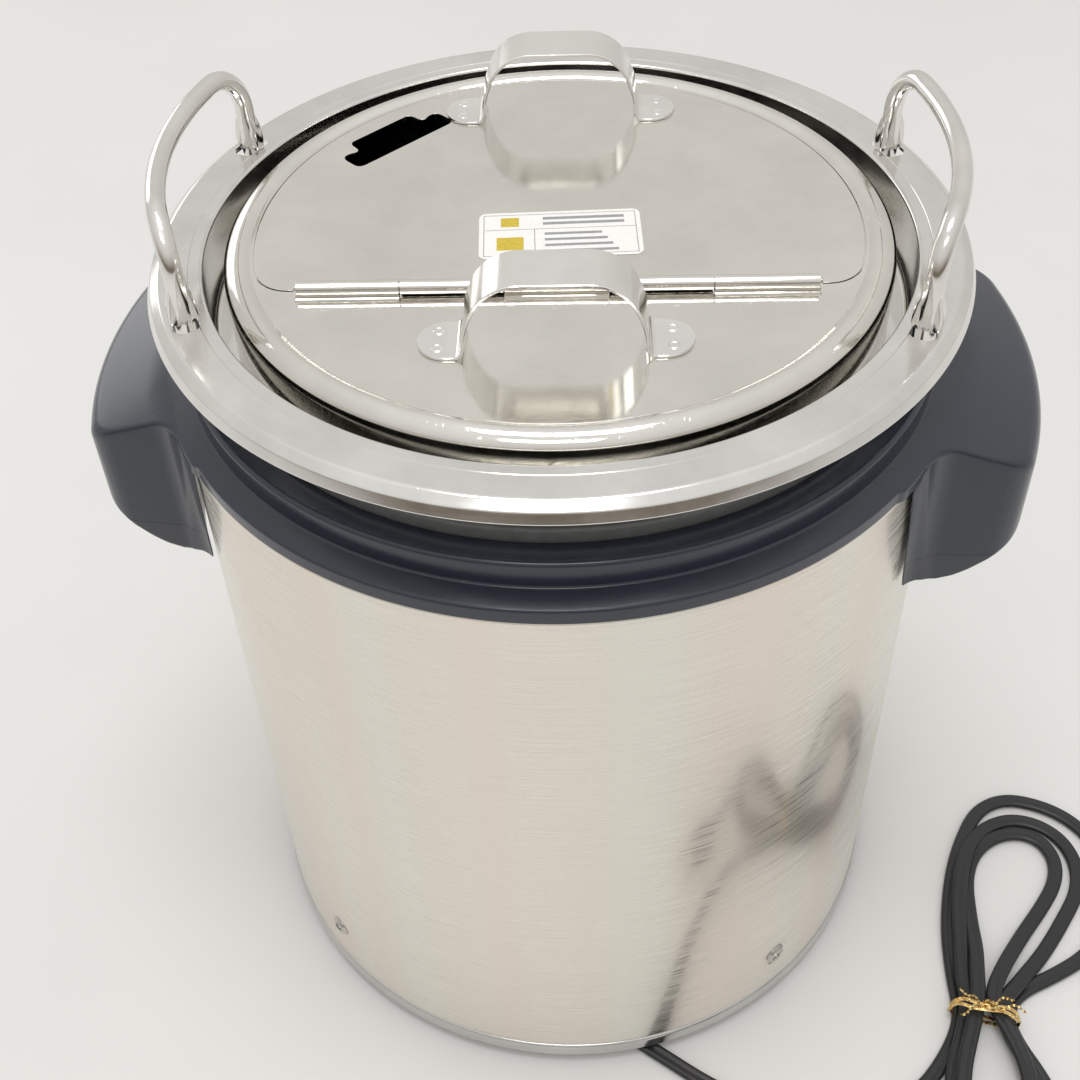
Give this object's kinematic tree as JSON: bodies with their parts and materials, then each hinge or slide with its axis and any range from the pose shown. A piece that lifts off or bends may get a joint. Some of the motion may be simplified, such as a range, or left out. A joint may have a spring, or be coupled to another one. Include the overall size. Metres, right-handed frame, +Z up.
{
  "type": "soup kettle",
  "caption": "Countertop electric soup kettle: brushed steel body, lift-out steel pot with wire handles, and a lid with a hinged ladle flap.",
  "frame": {"origin": "on the table, under the middle of the kettle's round body", "axes": "+Z up; the control panel faces -Y and the cord leaves at +Y; the two carrying handles lie along X"},
  "size_m": [0.45, 0.3418, 0.3809],
  "materials": {
    "pot_steel": "drawn stainless steel, near mirror with fine scratches",
    "lid_steel": "rolled stainless sheet, satin mirror with faint smudges",
    "handle_steel": "polished stainless rod and strip",
    "jacket_steel": "stainless sheet brushed round the body",
    "base_steel": "bright rolled ring",
    "sheet_steel": "plain plated sheet",
    "screw_steel": "plated steel",
    "ring_plastic": "dark blue-grey moulded plastic, satin",
    "liner_plastic": "dark blue-grey moulded plastic, fine texture",
    "silicone": "grey silicone",
    "foot_rubber": "black rubber",
    "mica": "mica heater plate",
    "wool": "glass wool blanket",
    "panel_plastic": "moulded plastic frame",
    "faceplate": "printed membrane, no lettering",
    "display": "tinted clear window",
    "button_plastic": "moulded button caps",
    "circuit_board": "green laminate",
    "terminal_plastic": "moulded block",
    "wire_pvc": "sleeved wires",
    "cord_pvc": "dark grey flat twin flex",
    "plug_pvc": "moulded plug",
    "blade_brass": "plated brass blades",
    "tie_foil": "gold foil twist tie",
    "label_film": "white film label with plain grey bars"
  },
  "bodies": {
    "root": {"jacket": "jacket_steel", "base_ring": "base_steel", "base_pan": "sheet_steel", "foot_1": "foot_rubber", "foot_2": "foot_rubber", "foot_3": "foot_rubber", "foot_4": "foot_rubber", "jacket_screw_1": "screw_steel", "jacket_screw_2": "screw_steel", "jacket_screw_3": "screw_steel", "jacket_screw_4": "screw_steel", "top_ring": "ring_plastic", "handle_liner_left": "liner_plastic", "handle_liner_right": "liner_plastic", "pot_support_ring": "silicone", "heating_well": "sheet_steel", "side_heater": "mica", "base_heater": "mica", "insulation_sleeve": "wool", "sensor_spring": "screw_steel", "sensor_bracket": "sheet_steel", "thermal_fuse": "screw_steel", "power_board": "circuit_board", "terminal_block": "terminal_plastic", "wiring_harness": "wire_pvc", "control_housing": "panel_plastic", "control_faceplate": "faceplate", "display_window": "display", "control_board": "circuit_board", "cord_bushing": "cord_pvc", "power_cord": "cord_pvc", "cord_hank": "cord_pvc", "cord_tie": "tie_foil", "plug_body": "plug_pvc", "plug_blade_1": "blade_brass", "plug_blade_2": "blade_brass"},
    "pot": {"inner_pot": "pot_steel", "pot_handle_left": "handle_steel", "pot_handle_right": "handle_steel"},
    "lid": {"lid_base": "lid_steel", "hinge_pin": "screw_steel", "rear_strap_handle": "handle_steel"},
    "flap": {"lid_flap": "lid_steel", "front_strap_handle": "handle_steel", "lid_label": "label_film"},
    "sensor_plunger": {"sensor_cap": "sheet_steel"},
    "power_button": {"button_1": "button_plastic"},
    "cooler_button": {"button_2": "button_plastic"},
    "hotter_button": {"button_3": "button_plastic"}
  },
  "joints": [
    {"name": "pot_lift", "type": "slide", "parent": "root", "child": "pot", "axis": [0, 0, 1], "range_m": [0, 0.3]},
    {"name": "lid_lift", "type": "slide", "parent": "pot", "child": "lid", "axis": [0, 0, 1], "range_m": [0, 0.15]},
    {"name": "flap_hinge", "type": "hinge", "parent": "lid", "child": "flap", "pos_m": [-0.00279, 0.0399, 0.347], "axis": [-0.9976, -0.0698, 0], "range_deg": [0, 110]},
    {"name": "sensor_press", "type": "slide", "parent": "root", "child": "sensor_plunger", "axis": [0, 0, 1], "range_m": [-0.004, 0], "stiffness_N_per_m": 300, "springref_m": 0.003, "deforming": ["sensor_spring"]},
    {"name": "power_button_press", "type": "slide", "parent": "root", "child": "power_button", "axis": [0, 1, 0], "range_m": [0, 0.0012], "stiffness_N_per_m": 500, "springref_m": -0.001},
    {"name": "cooler_button_press", "type": "slide", "parent": "root", "child": "cooler_button", "axis": [0, 1, 0], "range_m": [0, 0.0012], "stiffness_N_per_m": 500, "springref_m": -0.001},
    {"name": "hotter_button_press", "type": "slide", "parent": "root", "child": "hotter_button", "axis": [0, 1, 0], "range_m": [0, 0.0012], "stiffness_N_per_m": 500, "springref_m": -0.001}
  ]
}
